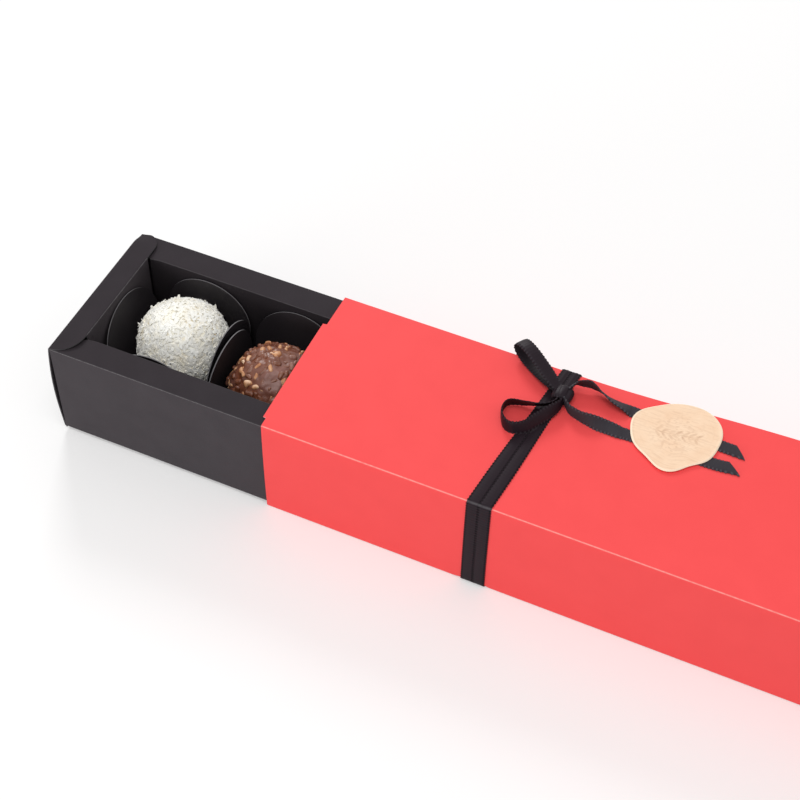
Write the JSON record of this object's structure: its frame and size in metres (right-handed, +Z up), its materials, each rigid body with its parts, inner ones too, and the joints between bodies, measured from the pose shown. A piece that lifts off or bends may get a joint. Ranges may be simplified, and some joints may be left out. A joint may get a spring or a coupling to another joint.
{
  "type": "slide-out candy box",
  "caption": "Long slide-out candy box: a card sleeve tied with a ribbon bow and seal, over a hollow-walled card tray that holds a row of truffles in petal cups.",
  "frame": {"origin": "on the resting surface, under the plan centre of the sleeve's underside", "axes": "+X along the box from the tray's open end to the far end (the tray pulls out towards -X), +Y from the front face to the back face, +Z up"},
  "size_m": [0.2868, 0.0538, 0.0403],
  "materials": {
    "red_card": "smooth coral-red coated card, satin",
    "black_card": "uncoated charcoal-black card, matte",
    "cup_card": "thin black card, slight sheen",
    "satin_ribbon": "narrow woven satin with picot edges",
    "seal_paper": "peach embossed sticker, matte",
    "coconut": "ball coated in white coconut flakes",
    "nut_chocolate": "milk chocolate ball with chopped nuts"
  },
  "bodies": {
    "sleeve_body": {"sleeve": "red_card", "ribbon_turn_1": "satin_ribbon", "ribbon_turn_2": "satin_ribbon", "bow_knot": "satin_ribbon", "bow_loop_near": "satin_ribbon", "bow_loop_far": "satin_ribbon", "ribbon_tail_back": "satin_ribbon", "ribbon_tail_front": "satin_ribbon", "seal": "seal_paper"},
    "tray_body": {"tray": "black_card", "cup_1": "cup_card", "cup_2": "cup_card", "cup_3": "cup_card", "cup_4": "cup_card", "cup_5": "cup_card", "cup_6": "cup_card", "truffle_1": "coconut", "truffle_2": "nut_chocolate", "truffle_3": "coconut", "truffle_4": "nut_chocolate", "truffle_5": "coconut", "truffle_6": "nut_chocolate"}
  },
  "joints": [
    {"name": "tray_slide", "type": "slide", "parent": "sleeve_body", "child": "tray_body", "axis": [-1, 0, 0], "range_m": [-0.0653, 0.131]}
  ]
}
